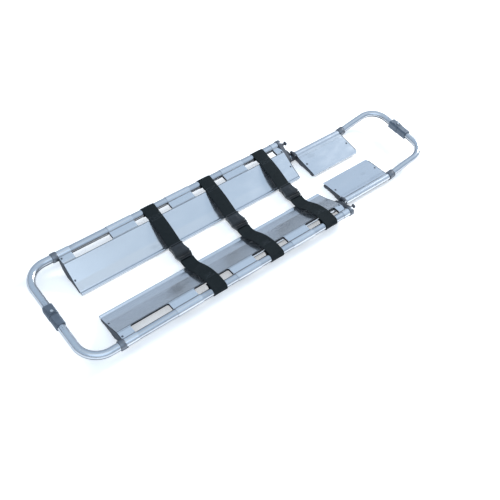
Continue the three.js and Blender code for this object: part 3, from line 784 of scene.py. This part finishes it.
def rivet(station, y, z, lean):
    """A domed rivet head on a washer, square to a surface that climbs with y at that angle in degrees."""
    axis = (0, -math.sin(math.radians(lean)), math.cos(math.radians(lean)))
    profile = [(-0.6, 3.8), (0.4, 3.8), (0.6, 3.6), (0.6, 3.0), (1.1, 2.8), (1.6, 2.2), (1.9, 1.2), (2.0, 0)]
    return turned("rivet", profile, (station, y, z), axis, 24)


def add_rivets(material):
    spots = [
        (132, 183, 55.3, 4), (132, 102, 24.2, 27),
        (1077, 164.8, 54.1, 4), (1077, 104, 25.2, 27),
    ]
    heads = joined("rivets", [rivet(*spot) for spot in spots])
    finished_pair(heads, "blade_rivets", "half", material)
    spots = [(1144, 82, 21.2, 6), (1357, 82, 21.2, 6)]
    heads = joined("rivets", [rivet(*spot) for spot in spots])
    finished_pair(heads, "foot_blade_rivets", "foot", material)


def punch_marks(x, z, radius):
    """Small swaged marks in two rows on a loop's tube beside its coupling."""
    marks = []
    for y in (49, 56, 63):
        for angle in (48, 82, 116):
            lean = math.radians(angle)
            axis = (-math.cos(lean), 0, math.sin(lean))
            place = (x - math.cos(lean) * (radius - 0.5), y, z + math.sin(lean) * (radius - 0.5))
            marks.append(turned("mark", [(0, 1.3), (0.75, 1.3), (0.9, 0.9), (0.6, 0)], place, axis, 14))
    return joined("marks", marks)


def add_punch_marks(material):
    finished_pair(punch_marks(0, RAIL_Z, RAIL_RADIUS), "head_marks", "half", material)
    finished_pair(punch_marks(FOOT_LOOP_X, FOOT_LOOP_Z, FOOT_RADIUS), "foot_marks", "foot", material)


# ---- Straps ----

def webbing_section():
    """The webbing's cross-section, as (across, up) points round its soft edges."""
    half = STRAP_WIDTH / 2
    half_thick = STRAP_THICKNESS / 2
    top = [half - 0.9, half * 0.85, half * 0.5, 0, -half * 0.5, -half * 0.85, -half + 0.9]
    section = [(across, half_thick) for across in top]
    section += [(-half + 0.2, half_thick * 0.6), (-half, 0), (-half + 0.2, -half_thick * 0.6)]
    section += [(-across, -half_thick) for across in top]
    section += [(half - 0.2, -half_thick * 0.6), (half, 0), (half - 0.2, half_thick * 0.6)]
    return section


def bow(across):
    """How far the webbing dips at that distance from its middle line."""
    return STRAP_BOW * (across / (STRAP_WIDTH / 2)) ** 2


def band(name, station, path):
    """Flat webbing along a path of (y, z) points, with a UV map in millimetres."""
    section = webbing_section()
    loops = []
    reach = [0]
    for at, here in enumerate(path):
        before = Vector(path[max(at - 1, 0)])
        after = Vector(path[min(at + 1, len(path) - 1)])
        tangent = (after - before).normalized()
        normal = Vector((-tangent.y, tangent.x))
        if at:
            reach.append(reach[-1] + (Vector(here) - Vector(path[at - 1])).length)
        loop = []
        for across, up in section:
            place = Vector(here) + normal * (up - bow(across))
            loop.append(point(station + across, place.x, place.y))
        loops.append(loop)
    obj = rings(name, loops)
    layer = obj.data.uv_layers.new(name="weave")
    count = len(section)
    for loop_index, corner in enumerate(obj.data.loops):
        row, at = divmod(corner.vertex_index, count)
        layer.data[loop_index].uv = (reach[row], section[at][0] + STRAP_WIDTH / 2)
    return obj


def strap_path(run, side):
    """From the buckle up to the rail, round it and back underneath, for a half that lies at side * y."""
    turn = arc(RAIL_Y, RAIL_Z, RAIL_RADIUS + 1.4, 96, -168, 40)
    back = [(188.6, 50.6), (184.5, 54), (178, 55.6), (171, 54.6)]
    path = [*smoothed(run), *turn, *smoothed(back)[1:]]
    return [(side * y, z) for y, z in path]


TAUT_RUN = [(42.3, 24), (60, 30.6), (75, 35.6), (105, 45.8), (138, 53.6), (168, 58.2), (188, 62.6)]
SLACK_RUN = [
    (29.3, 21), (37, 18.4), (46, 17.4), (57, 18.6), (68, 22.5), (80, 29.2),
    (96, 39.4), (112, 48.2), (128, 55.2), (145, 60.8), (168, 65.6), (188, 66.2),
]


def stitches(name, station, y, z, lean, side):
    """A sewn box of thread on the webbing's top, tilted to lie along it."""
    up = Vector((0, -math.sin(lean) * side, math.cos(lean)))
    along = Vector((0, math.cos(lean) * side, math.sin(lean)))
    half_wide = 21
    half_long = 8
    pitch = 3.2
    profile = [(-1.15, 0.05), (-0.9, 0.35), (0, 0.5), (0.9, 0.35), (1.15, 0.05)]
    corners = [
        (-half_wide, -half_long), (half_wide, -half_long),
        (half_wide, half_long), (-half_wide, half_long),
    ]
    lines = list(zip(corners, corners[1:] + corners[:1]))
    lines += [(corners[0], corners[2]), (corners[1], corners[3])]
    threads = []
    for start, end in lines:
        run = Vector(end) - Vector(start)
        direction = Vector((run.x, 0, 0)) + along * run.y
        number = max(int(run.length / pitch), 2)
        for step in range(number):
            across, forward = Vector(start) + run * ((step + 0.5) / number)
            centre = (station + across, y * side + forward * along.y, z + forward * along.z)
            middle = Vector(centre) + up * (STRAP_THICKNESS / 2 - bow(across))
            threads.append(turned(name, profile, middle, direction, 6))
    return joined(name, threads)


def add_straps(webbing, thread):
    for number, station in enumerate(STRAP_STATIONS, 1):
        for name, side, run, seam in (
            ("left", 1, TAUT_RUN, (158, 57.0, math.radians(9))),
            ("right", -1, SLACK_RUN, (152, 62.6, math.radians(14))),
        ):
            strap = band(f"strap_{number}_{name}_webbing", station, strap_path(run, side))
            finished(strap, f"{name}_half", webbing, [f"strap_{number}_{name}_web"])
            sewn = stitches(f"strap_{number}_{name}_stitches", station, *seam, side)
            finished(sewn, f"{name}_half", thread)


# ---- Buckles ----

def both_sides(points):
    """An outline that is the same on both sides, from (half width, y) points down one side."""
    return [(-x, y) for x, y in reversed(points)] + points


def moved(outline, station):
    """An outline of (x, y) points, moved to that station."""
    return [(station + x, y) for x, y in outline]


def bar_across(name, station, y, z, half_length, radius):
    """A round-ended bar across the strap."""
    start = [(-half_length - radius * 0.9, 0), (-half_length - radius * 0.6, radius * 0.75)]
    end = [(half_length + radius * 0.6, radius * 0.75), (half_length + radius * 0.9, 0)]
    profile = [*start, (-half_length, radius), (half_length, radius), *end]
    return turned(name, profile, (station, y, z), (1, 0, 0), 20)


def buckle_socket(station):
    shell = along_z("shell", moved(both_sides([
        (21, 42), (24.5, 41), (26.6, 38.8), (27, 35.6), (25.6, 32.5), (25.2, 26),
        (25.8, 17), (27.4, 8), (29.2, 1), (30, -2.5), (29.4, -5), (27.6, -6),
    ]), station), BUCKLE_Z - 8, BUCKLE_Z + 7)
    mouth = along_z("mouth", moved(both_sides([(19.5, 31), (19.5, -9)]), station), BUCKLE_Z - 4, BUCKLE_Z + 4)
    window = along_z("window", moved(both_sides([(40, 23), (40, 9)]), station), BUCKLE_Z - 4, BUCKLE_Z + 4)
    opening = moved(both_sides([(22, 38.5), (22, 35.2)]), station)
    web_slot = along_z("slot", opening, BUCKLE_Z - 10, BUCKLE_Z + 12)
    carved(shell, [mouth, window, web_slot])
    bevelled(shell, 1.5, 3, 50)
    crown = along_z("crown", moved(both_sides([
        (13, 30), (17.5, 28), (19.5, 23), (19.5, 12), (22, 4), (21, 0.5), (16, -1),
    ]), station), BUCKLE_Z + 5, BUCKLE_Z + 8.6)
    bevelled(crown, 1.1, 3, 40)
    grips = [bar_across("grip", station, y, BUCKLE_Z + 8.5, 10, 1.2) for y in (7, 12, 17, 22)]
    nubs = [bar_across("nub", station + x, 38, BUCKLE_Z + 5.2, 1.6, 3) for x in (-25, 25)]
    return [shell, crown, *grips, *nubs]


def buckle_tongue(station):
    plate = along_z("plate", moved(both_sides([
        (27.5, -6.6), (29.6, -8.4), (30, -11), (29.2, -15),
        (27.4, -19), (26.6, -24), (25.4, -27.6), (22, -29),
    ]), station), BUCKLE_Z - 6, BUCKLE_Z + 5.5)
    slots = [
        along_z("slot", moved(both_sides([(22.5, high), (22.5, low)]), station), BUCKLE_Z - 20, BUCKLE_Z + 20)
        for low, high in ((-25.5, -21.5), (-17, -13))
    ]
    carved(plate, slots)
    bevelled(plate, 1.2, 3, 50)
    arm = [
        (15, -8), (15.4, 4), (18.5, 11), (24.8, 13), (25.6, 16.5),
        (24.4, 20), (20, 22.4), (15.5, 23.6), (13, 22), (12.8, -8),
    ]
    prongs = []
    for side in (-1, 1):
        outline = [(station + side * x, y) for x, y in arm]
        prong = along_z("prong", outline, BUCKLE_Z - 3.3, BUCKLE_Z + 3.3)
        prongs.append(bevelled(prong, 0.8, 2, 45))
    middle = [(3, 20), (2, 22), (-2, 22), (-3, 20), (-3, -8), (3, -8)]
    prong = along_z("prong", moved(middle, station), BUCKLE_Z - 2.3, BUCKLE_Z + 2.3)
    prongs.append(bevelled(prong, 0.6, 2, 45))
    bars = [bar_across("bar", station, y, BUCKLE_Z + 5.6, 23, 2.3) for y in (-10.2, -19.3, -26.8)]
    return [plate, *prongs, *bars]


def add_buckles(material):
    for number, station in enumerate(STRAP_STATIONS, 1):
        socket = joined(f"strap_{number}_socket", buckle_socket(station))
        finished(socket, "left_half", material, [f"strap_{number}_buckle_socket"])
        tongue = joined(f"strap_{number}_tongue", buckle_tongue(station))
        finished(tongue, "right_half", material, [f"strap_{number}_buckle_tongue"])


# ---- Nodes kept from the part ----

def soften(name, material, width):
    """Shows a CAD node with its edges rounded off."""
    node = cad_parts[name]
    node.data.materials.clear()
    node.data.materials.append(material)
    weld = node.modifiers.new("weld", "WELD")
    weld.merge_threshold = 0.00001
    flat = node.modifiers.new("flat", "DECIMATE")
    flat.decimate_type = "DISSOLVE"
    flat.angle_limit = math.radians(1)
    if width:
        bevelled(node, width, 3, 35)


def keep_nodes(casting, coupling, steel, nylon):
    # casting is the castings' grey, darkened with painted shade.
    for side in SIDES:
        for name, width in (
            ("head_rib", 0.5), ("foot_bracket", 0.5), ("hinge_fork", 0.4), ("foot_head_rib", 0.4),
            ("foot_end_rib", 0.4), ("lock_lever", 0.4),
        ):
            soften(f"{side}_{name}", casting, width)
        soften(f"{side}_hinge_pin", steel, 0.3)
        soften(f"{side}_lock_pivot", steel, 0.3)
        soften(f"{side}_guide_bush", nylon, 0.2)
        soften(f"{side}_slide_stop", nylon, 0.3)
    for end in ("head", "foot"):
        soften(f"{end}_coupling_socket", coupling, 1)
        soften(f"{end}_coupling_spigot", coupling, 1)
        soften(f"{end}_latch_button", steel, 0.3)
        soften(f"{end}_latch_spring", steel, 0)


def add_floor():
    reach = 30
    drop = 0.0005
    corners = [Vector((x * reach, y * reach, -drop)) for x, y in ((-1, -1), (1, -1), (1, 1), (-1, 1))]
    floor = object_from("floor", mesh_from("floor", corners, [(0, 1, 2, 3)]))
    floor.data.materials.append(floor_material())


add_camera()
add_world()
add_lights()
add_floor()

satin = tube_material()
panel = blade_material()
# The castings' grey, darkened with painted shade.
casting_with_painted_shade = casting_with_painted_shade_material()
bright = steel_material()
dark = dark_steel_material()
moulded = nylon_material()

add_straps(webbing_material(), thread_material())
add_buckles(moulded)
# The blades' hollow walls get a near-black material as painted shade.
add_main_blades(panel, painted_hollow_shade_material())
add_foot_blades(panel)
add_tubes(satin)
add_rings(ring_material())
add_rivets(dark)
add_punch_marks(dark)
keep_nodes(casting_with_painted_shade, coupling_material(), bright, moulded)
